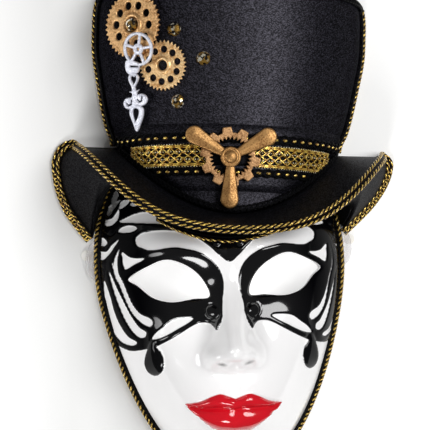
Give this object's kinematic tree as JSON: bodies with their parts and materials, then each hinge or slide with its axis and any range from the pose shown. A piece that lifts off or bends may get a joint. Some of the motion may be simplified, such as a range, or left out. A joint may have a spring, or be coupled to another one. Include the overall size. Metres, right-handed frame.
{
  "type": "face mask",
  "caption": "Full-face carnival mask: a glossy moulded face under a cocked half top hat with rolled brim, braid, lace band and gear trims; open at the back.",
  "frame": {"origin": "middle of the whole mask's box in plan, on the plane of its back rim, which lies on the floor", "axes": "+Z out of the face, +Y from the chin to the hat's crown, +X to the right of someone who looks at the face"},
  "size_m": [0.197, 0.2834, 0.0885],
  "materials": {
    "white_plastic": "glossy moulded, black filigree and red lips",
    "black_satin": "satin over a formed shell",
    "braid": "black and gold braid",
    "black_cord": "black gimp with gold dots",
    "gold_lace": "metallic lace",
    "bronze": "antique bronze",
    "copper": "darkened copper",
    "tan_gold": "matt tan gold",
    "pale_gold": "matt pale gold",
    "silver": "silver-white",
    "crystal": "faceted, foil backed",
    "clear_plastic": "translucent"
  },
  "bodies": {
    "root": {"face": "white_plastic", "face_edge_braid": "braid", "hat_brim": "black_satin", "brim_edge_braid": "braid", "brim_lower_braid": "braid", "tab_left": "clear_plastic", "button_left": "clear_plastic", "tab_right": "clear_plastic", "button_right": "clear_plastic", "hat_crown": "black_satin", "ribbon": "black_satin", "lace_band": "gold_lace", "gimp_upper": "black_cord", "gimp_lower": "black_cord", "seam_gimp": "black_cord", "crown_top_gimp": "black_cord", "crown_braid_left": "braid", "crown_braid_right": "braid", "gear_large": "tan_gold", "gear_crystal": "crystal", "gear_small": "pale_gold", "clock_hand": "silver", "cog_ring": "copper", "propeller": "bronze", "crystal_top": "crystal", "crystal_middle": "crystal", "crystal_low": "crystal"}
  },
  "joints": []
}
